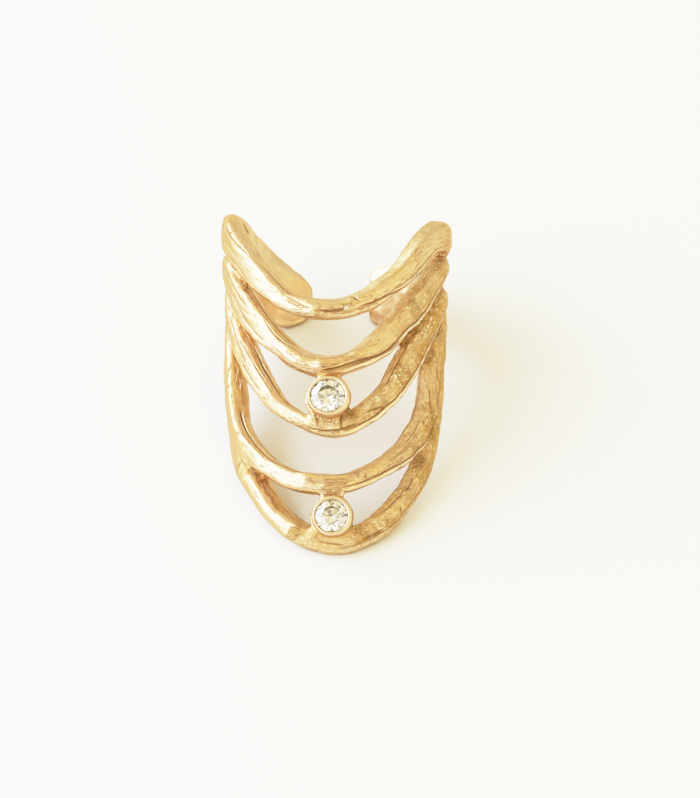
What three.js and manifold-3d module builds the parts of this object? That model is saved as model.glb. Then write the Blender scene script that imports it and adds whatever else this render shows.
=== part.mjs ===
// Wave ring: one open, adjustable ring cast in yellow gold, with two round clear stones.
//
// Five hand-carved bands dip in U-shapes across the front, run together at the sides and end in
// two flat tongues that leave a gap at the back of the finger. A round bezel cup hangs between
// bands 2 and 3, and another between bands 4 and 5. Each cup holds one stone. The bands, the
// tongues, the cups and their necks are one casting, so they are one solid.
//
// Millimetres. The ring is modelled in its own frame: +Z runs up the finger axis, the front with
// the stones faces -Y and +X is to the right. Angles go round the finger in degrees, 0 at the
// front, negative to the left and 180 at the back. Heights are along the finger axis, from the
// middle of the tongues' tips. The whole ring then leans back until it rests by itself on its
// lowest band and on the tongues' lower edges.

import * as THREE from 'three';
import { mergeVertices } from 'three/addons/utils/BufferGeometryUtils.js';
import { ConvexGeometry } from 'three/addons/geometries/ConvexGeometry.js';
import Module from 'manifold-3d';

const wasm = await Module();
wasm.setup();

// ---- driving dimensions ----

const FINGER_RADIUS = 8.7; // of the hollow, at height 0
const TAPER = 0.03; // the hollow narrows by this much for each mm towards the lowest band
const LEAN = 54.6; // between the finger axis and the vertical, as the ring rests
const FOOT_HEIGHT = 8.42; // from the resting surface up to the finger axis at height 0

const BAND_SIDES = 10; // flats round a band's section
const TONGUE_SIDES = 16;
const BAND_STEP = 1.1; // mm along a band between its sections
const SQUARENESS = 0.72; // 1 is an oval section, smaller is a rounder-cornered rectangle

const CUP_SIDES = 24;
const STONE_GAP = 0.1; // between a stone and its cup

// Each row of a band is a section, from left to right: the angle, the height of the band's middle,
// its width across the run of the band and its depth from the finger outwards.
const BAND_COLUMNS = ['angle', 'height', 'width', 'depth'];
const BANDS = {
  band_1: [
    [-118, 3.6, 3.4, 1.4],
    [-104, 4.4, 3.6, 1.5],
    [-91, 4.6, 3.4, 1.7],
    [-80, 3.8, 3.1, 1.8],
    [-70, 2.6, 2.8, 1.8],
    [-61, 1.2, 2.6, 1.7],
    [-53, -0.1, 2.4, 1.6],
    [-45, -1.3, 2.2, 1.6],
    [-37, -2.4, 2.0, 1.6],
    [-28, -3.5, 2.0, 1.6],
    [-18, -4.1, 2.1, 1.6],
    [-8, -4.4, 2.1, 1.6],
    [2, -4.4, 2.1, 1.6],
    [11, -4.0, 2.1, 1.6],
    [19, -3.4, 2.2, 1.6],
    [28, -2.3, 2.1, 1.6],
    [36, -1.3, 2.2, 1.6],
    [43, -0.1, 2.4, 1.6],
    [50, 1.2, 2.5, 1.6],
    [57, 2.3, 2.6, 1.7],
    [65, 3.1, 2.8, 1.8],
    [75, 3.7, 3.0, 1.9],
    [88, 3.8, 3.0, 1.8],
    [103, 3.4, 2.9, 1.5],
    [118, 2.6, 2.8, 1.4],
  ],
  band_2: [
    [-112, 1.6, 2.6, 1.3],
    [-92, 1.5, 2.2, 1.6],
    [-79, 0.3, 2.4, 1.8],
    [-70, -1.2, 2.5, 1.8],
    [-62, -2.8, 2.6, 1.7],
    [-54, -4.2, 2.6, 1.7],
    [-46, -5.5, 2.5, 1.6],
    [-38, -6.7, 2.3, 1.6],
    [-31, -7.6, 2.1, 1.6],
    [-24, -8.6, 2.1, 1.6],
    [-15, -9.3, 2.2, 1.6],
    [-7, -9.6, 2.2, 1.6],
    [1, -9.5, 2.1, 1.6],
    [9, -9.1, 2.1, 1.6],
    [17, -8.4, 2.3, 1.6],
    [25, -7.5, 2.5, 1.6],
    [31, -6.5, 2.5, 1.6],
    [37, -5.4, 2.5, 1.6],
    [43, -4.5, 2.8, 1.6],
    [49, -3.5, 2.8, 1.6],
    [55, -2.4, 2.6, 1.7],
    [62, -1.1, 2.4, 1.8],
    [70, 0.0, 2.3, 1.8],
    [80, 0.9, 2.2, 1.7],
    [92, 1.1, 2.2, 1.6],
    [112, 0.9, 2.6, 1.3],
  ],
  band_3: [
    [-112, -0.4, 2.4, 1.3],
    [-92, -0.8, 2.4, 1.5],
    [-83, -2.1, 2.2, 1.6],
    [-76, -3.6, 2.2, 1.7],
    [-70, -5.1, 2.2, 1.7],
    [-64, -6.6, 2.3, 1.7],
    [-58, -7.9, 2.4, 1.6],
    [-51, -9.4, 2.3, 1.6],
    [-45, -10.7, 2.1, 1.6],
    [-40, -11.8, 1.8, 1.6],
    [-34, -12.9, 1.5, 1.6],
    [-26, -13.8, 1.4, 1.6],
    [-18, -14.5, 1.4, 1.6],
    [-10, -15.0, 1.6, 1.6],
    [-3, -15.0, 2.0, 1.6],
    [5, -14.8, 2.2, 1.6],
    [12, -14.3, 2.2, 1.6],
    [19, -13.6, 2.2, 1.6],
    [26, -12.6, 2.2, 1.6],
    [32, -11.6, 2.3, 1.6],
    [37, -10.4, 2.5, 1.6],
    [42, -9.2, 2.7, 1.6],
    [47, -8.0, 2.8, 1.6],
    [52, -6.8, 2.7, 1.6],
    [58, -5.5, 2.5, 1.7],
    [65, -4.1, 2.4, 1.7],
    [73, -3.0, 2.3, 1.7],
    [82, -2.2, 2.5, 1.6],
    [92, -1.8, 2.6, 1.5],
    [112, -0.8, 2.4, 1.3],
  ],
  band_4: [
    [-112, -1.2, 2.2, 1.3],
    [-99, -2.2, 2.4, 1.4],
    [-90, -3.6, 2.3, 1.5],
    [-83, -5.6, 2.2, 1.5],
    [-79, -7.8, 2.2, 1.5],
    [-76, -10.0, 2.2, 1.5],
    [-74, -12.0, 2.2, 1.6],
    [-71, -13.8, 2.2, 1.6],
    [-66, -15.1, 2.1, 1.6],
    [-60, -16.1, 2.0, 1.6],
    [-53, -17.0, 1.9, 1.6],
    [-46, -17.8, 1.7, 1.6],
    [-38, -18.6, 1.6, 1.6],
    [-29, -19.4, 1.7, 1.6],
    [-20, -19.8, 1.8, 1.6],
    [-10, -20.0, 1.8, 1.6],
    [0, -20.0, 1.7, 1.6],
    [10, -19.7, 1.7, 1.6],
    [19, -19.2, 1.8, 1.6],
    [27, -18.5, 1.9, 1.6],
    [34, -17.8, 2.0, 1.6],
    [40, -17.2, 2.1, 1.6],
    [46, -16.4, 2.3, 1.6],
    [52, -15.4, 2.4, 1.6],
    [58, -14.2, 2.5, 1.6],
    [62.5, -12.7, 2.5, 1.6],
    [65, -10.9, 2.6, 1.6],
    [66.5, -9.1, 2.7, 1.6],
    [69.5, -7.3, 2.7, 1.6],
    [78, -5.5, 2.5, 1.6],
    [88, -3.9, 2.3, 1.5],
    [98, -2.4, 2.2, 1.4],
    [112, -1.3, 2.2, 1.3],
  ],
  band_5: [
    [-114, -2.2, 2.0, 1.3],
    [-102, -3.8, 2.1, 1.4],
    [-94, -5.9, 2.2, 1.4],
    [-88, -8.1, 2.2, 1.5],
    [-84, -10.3, 2.2, 1.5],
    [-80, -12.5, 2.2, 1.5],
    [-76, -14.6, 2.2, 1.5],
    [-71, -16.4, 2.2, 1.6],
    [-64, -17.8, 2.1, 1.6],
    [-57, -18.9, 2.1, 1.6],
    [-50, -20.0, 2.2, 1.6],
    [-43, -21.3, 2.2, 1.6],
    [-36, -22.5, 2.2, 1.6],
    [-28, -23.6, 2.2, 1.6],
    [-20, -24.4, 2.2, 1.6],
    [-11, -24.9, 2.3, 1.6],
    [-2, -25.2, 2.4, 1.6],
    [7, -25.1, 2.3, 1.6],
    [15, -24.6, 2.3, 1.6],
    [23, -23.9, 2.3, 1.6],
    [31, -22.9, 2.3, 1.6],
    [38, -21.8, 2.2, 1.6],
    [44, -20.8, 2.1, 1.6],
    [50, -19.7, 2.1, 1.6],
    [56, -18.4, 2.1, 1.6],
    [61, -17.1, 2.1, 1.6],
    [65.5, -15.6, 2.2, 1.6],
    [69.5, -13.9, 2.3, 1.6],
    [73, -12.1, 2.4, 1.6],
    [76.5, -10.2, 2.5, 1.6],
    [80, -8.4, 2.4, 1.5],
    [85, -6.6, 2.3, 1.5],
    [92, -4.9, 2.2, 1.4],
    [101, -3.3, 2.1, 1.4],
    [114, -2.2, 2.0, 1.3],
  ],
};

// The flat tongues behind the sides, in the same columns, from the side of the finger to the tip.
const TONGUES = {
  left: [
    [-92, 1.5, 8.8, 1.0],
    [-104, 1.6, 9.3, 1.3],
    [-116, 1.4, 9.1, 1.4],
    [-127, 1.0, 8.4, 1.4],
    [-138, 0.5, 7.2, 1.4],
    [-148, 0.1, 6.1, 1.4],
    [-156, 0.0, 5.1, 1.3],
    [-162, 0.0, 3.8, 1.2],
    [-165.5, 0.0, 2.2, 1.0],
  ],
  right: [
    [92, 1.0, 8.0, 1.0],
    [104, 1.0, 7.9, 1.3],
    [116, 0.8, 7.5, 1.4],
    [127, 0.5, 7.0, 1.4],
    [138, 0.2, 6.3, 1.4],
    [148, 0.2, 6.0, 1.4],
    [154, 0.3, 5.6, 1.3],
    [158.5, 0.3, 5.0, 1.2],
    [160.5, 0.3, 4.2, 1.0],
  ],
};

// Each setting's place on the ring: its angle and height, how far the stone's girdle stands out
// from the finger's hollow, how much it faces up the finger, and the stone's diameter.
const SETTINGS = {
  upper: { angle: -4, height: -12.6, standout: 2.1, tilt: 11, diameter: 3.2 },
  lower: { angle: -2.3, height: -23.2, standout: 2.1, tilt: 5, diameter: 3.0 },
};
const CUP_WALL = 0.36;
const CUP_LIP = 0.3; // height of the cup's rim above the middle of the girdle
const LIP_REACH = 0.1; // how far the rim closes in over the stone
const CUP_DEPTH = 1.8; // from the girdle to the cup's back
const CUP_TAPER = 0.3; // how much narrower the cup's back is
const CUP_BORE = 0.5; // radius of the cup's open back, as a share of the stone's
const CUP_EDGE = 0.1; // bevel round the cup's rim and back

const OVERRUN = 1; // how far a cutting shape runs past the metal that it cuts
const GROUND = { width: 60, depth: 20 }; // the block under the resting surface
const WELD = 1e-5; // vertices nearer than this are one

const NECK = { width: 2.0, depth: 1.2, height: 1.6 }; // joins each cup to the band above it

// Proportions of a round brilliant cut, as shares of its diameter.
const TABLE_SHARE = 0.56;
const CROWN_SHARE = 0.15;
const GIRDLE_SHARE = 0.05;
const PAVILION_SHARE = 0.42;
const FACETS = 8; // main facets round the stone, above and below the girdle
const CROWN_RING = { radius: 0.79, height: 0.6 }; // shares of the girdle's radius and the crown
const PAVILION_RING = { radius: 0.25, depth: 0.78 }; // of the girdle's radius and the pavilion

const GOLD = { color: 0xd9a95c, roughness: 0.24, metalness: 1 };
const STONE = { color: 0xf3f5f2, roughness: 0.03, metalness: 0 };

// ---- shapes ----

const radians = THREE.MathUtils.degToRad;

function rows(table) {
  return table.map((values) => Object.fromEntries(BAND_COLUMNS.map((name, i) => [name, values[i]])));
}

// The radius of the finger's hollow at a height.
function hollowRadius(height) {
  return FINGER_RADIUS + TAPER * height;
}

// A point at an angle round the finger, a distance outside the hollow and a height.
function ringPoint(angle, outside, height) {
  const radius = hollowRadius(height) + outside;
  return new THREE.Vector3(
    radius * Math.sin(radians(angle)),
    -radius * Math.cos(radians(angle)),
    height,
  );
}

// A corner-rounded section: x across the band, y outwards, both from -1 to 1.
function sectionPoint(turn) {
  const soften = (value) => Math.sign(value) * Math.abs(value) ** SQUARENESS;
  return new THREE.Vector2(soften(Math.cos(turn)), soften(Math.sin(turn)));
}

// A band: a closed cylinder whose rings of vertices are moved to the sections of a table.
function sweptBand(table, sides) {
  const sections = rows(table);
  const path = new THREE.CatmullRomCurve3(
    sections.map((row) => ringPoint(row.angle, row.depth / 2, row.height)),
  );
  const sizes = new THREE.CatmullRomCurve3(
    sections.map((row) => new THREE.Vector3(row.width, row.depth, 0)),
  );
  const steps = Math.round(path.getLength() / BAND_STEP);
  const geometry = new THREE.CylinderGeometry(1, 1, 1, sides, steps);
  const positions = geometry.attributes.position;
  for (let i = 0; i < positions.count; i += 1) {
    const vertex = new THREE.Vector3().fromBufferAttribute(positions, i);
    const share = THREE.MathUtils.clamp(0.5 - vertex.y, 0, 1);
    const middle = path.getPoint(share);
    const size = sizes.getPoint(share);
    const along = path.getTangent(share);
    const outward = new THREE.Vector3(middle.x, middle.y, 0).normalize();
    const across = new THREE.Vector3().crossVectors(along, outward).normalize();
    const reach = Math.hypot(vertex.x, vertex.z);
    const corner = sectionPoint(Math.atan2(vertex.x, vertex.z)).multiplyScalar(reach);
    middle.addScaledVector(across, (corner.x * size.x) / 2);
    middle.addScaledVector(outward, (corner.y * size.y) / 2);
    positions.setXYZ(i, middle.x, middle.y, middle.z);
  }
  return geometry;
}

// A setting's own frame: its origin is the middle of the girdle, +Y is the way the stone faces and
// +X is to the right.
function settingFrame(setting) {
  const out = ringPoint(setting.angle, 0, 0).normalize();
  const up = new THREE.Vector3(0, 0, 1);
  const lift = radians(setting.tilt);
  const facing = out.clone().multiplyScalar(Math.cos(lift)).addScaledVector(up, Math.sin(lift));
  const down = out.clone().multiplyScalar(Math.sin(lift)).addScaledVector(up, -Math.cos(lift));
  const right = new THREE.Vector3().crossVectors(facing, down);
  const frame = new THREE.Matrix4().makeBasis(right, facing, down);
  return frame.setPosition(ringPoint(setting.angle, setting.standout, setting.height));
}

// The cup before its seat is cut: a short tapered plug.
function cupPlug(setting) {
  const outer = setting.diameter / 2 + CUP_WALL;
  return new THREE.LatheGeometry([
    new THREE.Vector2(0, -CUP_DEPTH),
    new THREE.Vector2(outer - CUP_TAPER - CUP_EDGE, -CUP_DEPTH),
    new THREE.Vector2(outer - CUP_TAPER, -CUP_DEPTH + CUP_EDGE),
    new THREE.Vector2(outer, -CUP_DEPTH / 3),
    new THREE.Vector2(outer, CUP_LIP - CUP_EDGE),
    new THREE.Vector2(outer - CUP_EDGE, CUP_LIP),
    new THREE.Vector2(0, CUP_LIP),
  ], CUP_SIDES);
}

// What is cut from a cup: room for the stone with a gap all round it, and a bore behind it.
function cupSeat(setting) {
  const stone = setting.diameter / 2;
  const bore = stone * CUP_BORE;
  const girdle = (setting.diameter * GIRDLE_SHARE) / 2 + STONE_GAP;
  const slope = (setting.diameter * PAVILION_SHARE) / stone;
  const cone = girdle + (stone + STONE_GAP - bore) * slope;
  return new THREE.LatheGeometry([
    new THREE.Vector2(0, -CUP_DEPTH - OVERRUN),
    new THREE.Vector2(bore, -CUP_DEPTH - OVERRUN),
    new THREE.Vector2(bore, -cone),
    new THREE.Vector2(stone + STONE_GAP, -girdle),
    new THREE.Vector2(stone + STONE_GAP, girdle - STONE_GAP / 2),
    new THREE.Vector2(stone - LIP_REACH, CUP_LIP),
    new THREE.Vector2(stone - LIP_REACH, CUP_LIP + OVERRUN),
    new THREE.Vector2(0, CUP_LIP + OVERRUN),
  ], CUP_SIDES);
}

// The neck from the middle of a cup's upper wall up to the band above.
function cupNeck(setting) {
  const neck = new THREE.BoxGeometry(NECK.width, NECK.depth, NECK.height, 2, 2, 2);
  const reach = setting.diameter / 2 + CUP_WALL / 2 + NECK.height / 2;
  return neck.translate(0, -NECK.depth / 2 - CUP_LIP, -reach);
}

// A ring of points round a stone's axis, starting a share of one step round from +X.
function facetRing(radius, height, count, start) {
  const points = [];
  for (let i = 0; i < count; i += 1) {
    const turn = ((i + start) / count) * Math.PI * 2;
    points.push(new THREE.Vector3(radius * Math.cos(turn), height, radius * Math.sin(turn)));
  }
  return points;
}

// A round brilliant: the hull of its table, crown, girdle, pavilion and culet corners.
function brilliant(diameter) {
  const radius = diameter / 2;
  const girdle = (diameter * GIRDLE_SHARE) / 2;
  const crown = diameter * CROWN_SHARE;
  const pavilion = diameter * PAVILION_SHARE;
  return new ConvexGeometry([
    ...facetRing(radius * TABLE_SHARE, girdle + crown, FACETS, 0),
    ...facetRing(radius * CROWN_RING.radius, girdle + crown * CROWN_RING.height, FACETS, 0.5),
    ...facetRing(radius, girdle, FACETS * 2, 0),
    ...facetRing(radius, -girdle, FACETS * 2, 0),
    ...facetRing(
      radius * PAVILION_RING.radius,
      -girdle - pavilion * PAVILION_RING.depth,
      FACETS,
      0.5,
    ),
    new THREE.Vector3(0, -girdle - pavilion, 0),
  ]);
}

// ---- joining ----

function toSolid(geometry) {
  const bare = geometry.clone();
  bare.deleteAttribute('normal');
  bare.deleteAttribute('uv');
  const merged = mergeVertices(bare, WELD);
  return new wasm.Manifold(new wasm.Mesh({
    numProp: 3,
    vertProperties: merged.attributes.position.array,
    triVerts: merged.index.array,
  }));
}

function toGeometry(solid) {
  const mesh = solid.getMesh();
  const geometry = new THREE.BufferGeometry();
  geometry.setAttribute('position', new THREE.BufferAttribute(mesh.vertProperties, 3));
  geometry.setIndex(new THREE.BufferAttribute(mesh.triVerts, 1));
  geometry.computeVertexNormals();
  return geometry;
}

// ---- the ring ----

const ring = new THREE.Group();
ring.rotation.x = -radians(LEAN);
ring.position.z = FOOT_HEIGHT;
ring.updateMatrix();

const settings = Object.values(SETTINGS);
const inPlace = (shape, setting) => toSolid(shape(setting).applyMatrix4(settingFrame(setting)));

const added = [
  ...Object.values(BANDS).map((table) => toSolid(sweptBand(table, BAND_SIDES))),
  ...Object.values(TONGUES).map((table) => toSolid(sweptBand(table, TONGUE_SIDES))),
  ...settings.map((setting) => inPlace(cupPlug, setting)),
  ...settings.map((setting) => inPlace(cupNeck, setting)),
];

// Everything under the resting surface, which wears a narrow flat where the ring touches it.
const ground = new THREE.BoxGeometry(GROUND.width, GROUND.width, GROUND.depth);
ground.translate(0, 0, -GROUND.depth / 2);
ground.applyMatrix4(ring.matrix.clone().invert());

const removed = [...settings.map((setting) => inPlace(cupSeat, setting)), toSolid(ground)];

let casting = added[0];
for (const solid of added.slice(1)) {
  casting = casting.add(solid);
}
for (const solid of removed) {
  casting = casting.subtract(solid);
}

const castRing = new THREE.Mesh(toGeometry(casting), new THREE.MeshStandardMaterial(GOLD));
castRing.name = 'cast_ring';
ring.add(castRing);

for (const [place, setting] of Object.entries(SETTINGS)) {
  const stone = new THREE.Mesh(brilliant(setting.diameter), new THREE.MeshStandardMaterial(STONE));
  stone.name = `${place}_stone`;
  stone.applyMatrix4(settingFrame(setting));
  ring.add(stone);
}

// The origin is under the middle of the ring, on the surface that it rests on.
const waveRing = new THREE.Group();
waveRing.name = 'wave_ring';
waveRing.add(ring);
const size = new THREE.Box3().setFromObject(waveRing, true);
const middle = size.getCenter(new THREE.Vector3());
ring.position.x -= middle.x;
ring.position.y -= middle.y;

export default waveRing;
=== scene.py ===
"""Wave ring: an open ring cast in yellow gold, five carved bands and two round clear stones."""

import math

import bmesh
import bpy
import numpy as np
from mathutils import Matrix, Vector, kdtree, noise


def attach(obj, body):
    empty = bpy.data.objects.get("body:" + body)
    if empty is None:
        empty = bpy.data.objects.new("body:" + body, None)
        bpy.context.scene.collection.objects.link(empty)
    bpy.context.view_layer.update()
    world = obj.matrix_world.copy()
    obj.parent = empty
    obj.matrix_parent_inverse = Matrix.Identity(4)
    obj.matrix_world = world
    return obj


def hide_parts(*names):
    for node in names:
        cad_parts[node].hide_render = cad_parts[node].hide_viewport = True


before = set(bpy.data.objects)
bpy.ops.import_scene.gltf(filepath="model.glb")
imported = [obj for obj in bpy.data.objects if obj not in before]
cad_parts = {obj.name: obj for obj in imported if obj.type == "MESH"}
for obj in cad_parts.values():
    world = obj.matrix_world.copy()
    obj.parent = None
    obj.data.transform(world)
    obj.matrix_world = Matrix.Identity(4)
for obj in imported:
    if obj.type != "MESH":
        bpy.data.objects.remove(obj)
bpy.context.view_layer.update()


# ---------------------------------------------------------------------------------------------
# The carved bands and the tongues. One lost-wax casting in yellow gold: five strips of wax were
# bent round a mandrel in dipping curves, pressed together at the sides, cut square with a knife
# and drawn out behind the finger into two flat tongues that leave the shank open.
# ---------------------------------------------------------------------------------------------

# The ring is shaped in millimetres in its own frame: Z up the finger, the front towards -Y.
# Angles go round the finger in degrees from the front, negative to the left.
FINGER_RADIUS = 8.7
TAPER = 0.03  # the hollow narrows towards the lowest band by this much for each mm
LEAN = 54.6  # degrees between the finger and the vertical, as the ring rests
AXIS_FOOT = (-0.0054, 9.4318, 8.42)  # where the finger axis at height 0 stands over the floor
MM = 0.001

# Each row: angle, height of the middle, width, depth outwards.
BANDS = {
    "band_1": (
        (-118, 3.6, 3.4, 1.4), (-104, 4.4, 3.6, 1.5), (-91, 4.6, 3.4, 1.7), (-80, 3.8, 3.1, 1.8),
        (-70, 2.6, 2.8, 1.8), (-61, 1.2, 2.6, 1.7), (-53, -0.1, 2.4, 1.6), (-45, -1.3, 2.2, 1.6),
        (-37, -2.4, 2.0, 1.6), (-28, -3.5, 2.0, 1.6), (-18, -4.1, 2.1, 1.6), (-8, -4.4, 2.1, 1.6),
        (2, -4.4, 2.1, 1.6), (11, -4.0, 2.1, 1.6), (19, -3.4, 2.2, 1.6), (28, -2.3, 2.1, 1.6),
        (36, -1.3, 2.2, 1.6), (43, -0.1, 2.4, 1.6), (50, 1.2, 2.5, 1.6), (57, 2.3, 2.6, 1.7),
        (65, 3.1, 2.8, 1.8), (75, 3.7, 3.0, 1.9), (88, 3.8, 3.0, 1.8), (103, 3.4, 2.9, 1.5),
        (118, 2.6, 2.8, 1.4),
    ),
    "band_2": (
        (-112, 1.6, 2.6, 1.3), (-92, 1.5, 2.2, 1.6), (-79, 0.3, 2.4, 1.8), (-70, -1.2, 2.5, 1.8),
        (-62, -2.8, 2.6, 1.7), (-54, -4.2, 2.6, 1.7), (-46, -5.5, 2.5, 1.6), (-38, -6.7, 2.3, 1.6),
        (-31, -7.6, 2.1, 1.6), (-24, -8.6, 2.1, 1.6), (-15, -9.3, 2.2, 1.6), (-7, -9.6, 2.2, 1.6),
        (1, -9.5, 2.1, 1.6), (9, -9.1, 2.1, 1.6), (17, -8.4, 2.3, 1.6), (25, -7.5, 2.5, 1.6),
        (31, -6.5, 2.5, 1.6), (37, -5.4, 2.5, 1.6), (43, -4.5, 2.8, 1.6), (49, -3.5, 2.8, 1.6),
        (55, -2.4, 2.6, 1.7), (62, -1.1, 2.4, 1.8), (70, 0.0, 2.3, 1.8), (80, 0.9, 2.2, 1.7),
        (92, 1.1, 2.2, 1.6), (112, 0.9, 2.6, 1.3),
    ),
    "band_3": (
        (-112, -0.4, 2.4, 1.3), (-92, -0.8, 2.4, 1.5), (-83, -2.1, 2.2, 1.6),
        (-76, -3.6, 2.2, 1.7), (-70, -5.1, 2.2, 1.7), (-64, -6.6, 2.3, 1.7),
        (-58, -7.9, 2.4, 1.6), (-51, -9.4, 2.3, 1.6), (-45, -10.7, 2.1, 1.6),
        (-40, -11.8, 1.8, 1.6), (-34, -12.9, 1.5, 1.6), (-26, -13.8, 1.4, 1.6),
        (-18, -14.5, 1.4, 1.6), (-10, -15.0, 1.6, 1.6), (-3, -15.0, 2.0, 1.6),
        (5, -14.8, 2.2, 1.6), (12, -14.3, 2.2, 1.6), (19, -13.6, 2.2, 1.6), (26, -12.6, 2.2, 1.6),
        (32, -11.6, 2.3, 1.6), (37, -10.4, 2.5, 1.6), (42, -9.2, 2.7, 1.6), (47, -8.0, 2.8, 1.6),
        (52, -6.8, 2.7, 1.6), (58, -5.5, 2.5, 1.7), (65, -4.1, 2.4, 1.7), (73, -3.0, 2.3, 1.7),
        (82, -2.2, 2.5, 1.6), (92, -1.8, 2.6, 1.5), (112, -0.8, 2.4, 1.3),
    ),
    "band_4": (
        (-112, -1.2, 2.2, 1.3), (-99, -2.2, 2.4, 1.4), (-90, -3.6, 2.3, 1.5),
        (-83, -5.6, 2.2, 1.7), (-79, -7.8, 2.2, 1.8), (-76, -10.0, 2.2, 1.9),
        (-74, -12.0, 2.2, 1.9), (-71, -13.8, 2.2, 1.9), (-66, -15.1, 2.1, 1.8),
        (-60, -16.1, 2.0, 1.8), (-53, -17.0, 1.9, 1.7), (-46, -17.8, 1.7, 1.7),
        (-38, -18.6, 1.6, 1.6), (-29, -19.4, 1.8, 1.6), (-20, -19.9, 1.9, 1.6),
        (-10, -20.1, 2.0, 1.6), (0, -20.1, 2.0, 1.6), (10, -19.8, 1.9, 1.6), (19, -19.2, 1.9, 1.6),
        (27, -18.5, 1.9, 1.6), (34, -17.8, 2.0, 1.6), (40, -17.2, 2.1, 1.6), (46, -16.4, 2.3, 1.6),
        (52, -15.4, 2.4, 1.6), (58, -14.2, 2.5, 1.6), (62.5, -12.7, 2.5, 1.6),
        (65, -10.9, 2.6, 1.6), (66.5, -9.1, 2.7, 1.6), (69.5, -7.3, 2.7, 1.6),
        (78, -5.5, 2.5, 1.6), (88, -3.9, 2.3, 1.5), (98, -2.4, 2.2, 1.4), (112, -1.3, 2.2, 1.3),
    ),
    "band_5": (
        (-114, -2.2, 2.0, 1.3), (-102, -3.8, 2.1, 1.4), (-94, -5.9, 2.2, 1.4),
        (-88, -8.1, 2.2, 1.8), (-84, -10.3, 2.2, 1.8), (-80, -12.5, 2.2, 1.8),
        (-76, -14.6, 2.2, 1.7), (-71, -16.4, 2.2, 1.7), (-64, -17.8, 2.1, 1.7),
        (-57, -18.9, 2.1, 1.8), (-50, -20.0, 2.2, 1.9), (-43, -21.3, 2.2, 1.9),
        (-36, -22.5, 2.2, 1.9), (-28, -23.6, 2.2, 1.8), (-20, -24.4, 2.2, 1.7),
        (-11, -24.9, 2.3, 1.6), (-2, -25.2, 2.4, 1.6), (7, -25.1, 2.3, 1.6), (15, -24.6, 2.3, 1.6),
        (23, -23.9, 2.3, 1.6), (31, -22.9, 2.3, 1.6), (38, -21.8, 2.2, 1.6), (44, -20.8, 2.1, 1.6),
        (50, -19.7, 2.1, 1.6), (56, -18.4, 2.1, 1.6), (61, -17.1, 2.1, 1.6),
        (65.5, -15.6, 2.2, 1.6), (69.5, -13.9, 2.3, 1.6), (73, -12.1, 2.4, 1.6),
        (76.5, -10.2, 2.5, 1.6), (80, -8.4, 2.4, 1.5), (85, -6.6, 2.3, 1.5),
        (92, -4.9, 2.2, 1.4), (101, -3.3, 2.1, 1.4), (114, -2.2, 2.0, 1.3),
    ),
}
TONGUES = {
    "left_tongue": (
        (-92, 1.5, 8.8, 1.0), (-104, 1.75, 9.6, 1.3), (-110.5, 1.7, 9.7, 1.4),
        (-116, 1.4, 9.1, 1.4), (-121.5, 1.2, 8.8, 1.4), (-127, 1.0, 8.4, 1.4),
        (-138, 0.5, 7.2, 1.4), (-148, 0.1, 6.1, 1.4), (-156, 0.0, 5.1, 1.3), (-162, 0.0, 3.8, 1.2),
        (-165.5, 0.0, 2.2, 1.0),
    ),
    "right_tongue": (
        (92, 1.0, 8.0, 1.0), (104, 1.0, 7.9, 1.3), (116, 0.8, 7.5, 1.4), (127, 0.5, 7.0, 1.4),
        (138, 0.2, 6.3, 1.4), (148, 0.2, 6.0, 1.4), (154, 0.3, 5.6, 1.3), (158.5, 0.3, 5.0, 1.2),
        (160.5, 0.3, 4.2, 1.0),
    ),
}
# How the knife pared each band's section, from left to right: the angle, how far the upper outer
# corner is cut back, and how far the outer face falls away to its lower edge, in mm.
PARING = {
    "band_1": ((-62, 0.0, 0.1), (-45, 0.12, 0.2), (-35, 0.25, 0.2), (-28, 0.5, 0.3),
               (0, 0.65, 0.35), (15, 0.5, 0.3), (35, 0.3, 0.3), (60, 0.4, 0.2)),
    "band_2": ((-52, 0.0, 0.1), (-40, 0.2, 0.2), (-32, 0.5, 0.3), (-24, 0.6, 0.6),
               (-8, 0.65, 0.6), (2, 0.6, 0.4), (15, 0.35, 0.4), (38, 0.25, 0.4),
               (60, 0.2, 0.3)),
    "band_3": ((-64, 0.6, 0.1), (-50, 0.4, 0.1), (-30, 0.15, 0.2), (0, 0.1, 0.3),
               (20, 0.2, 0.35), (40, 0.3, 0.35), (60, 0.2, 0.3)),
    "band_4": ((-60, 0.05, 0.1), (-35, 0.1, 0.15), (-12, 0.25, 0.25), (10, 0.35, 0.35),
               (35, 0.3, 0.35), (55, 0.3, 0.2)),
    "band_5": ((-62, 0.1, 0.2), (-54, 0.5, 0.4), (-45, 0.65, 0.5), (-36, 0.7, 0.5),
               (-20, 0.6, 0.3), (0, 0.4, 0.35), (20, 0.35, 0.4), (38, 0.4, 0.4),
               (60, 0.3, 0.3)),
}
PARED_FROM = 0.3  # where across the face the lower slope starts, 1 at the lower edge
SECTION_SIDES = 36
SQUARE = 0.34  # the section at the front; 1 is an oval, smaller is squarer
ROUNDED = 0.60  # the section at the sides of the finger, where the edges were rubbed round
ROUNDED_FROM = 66  # degrees from the front
ROUNDED_BY = 88
STEP = 0.3  # mm along a band between its sections
METAL_GRID = 0.16  # mm between the points of the finished surface

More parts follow.
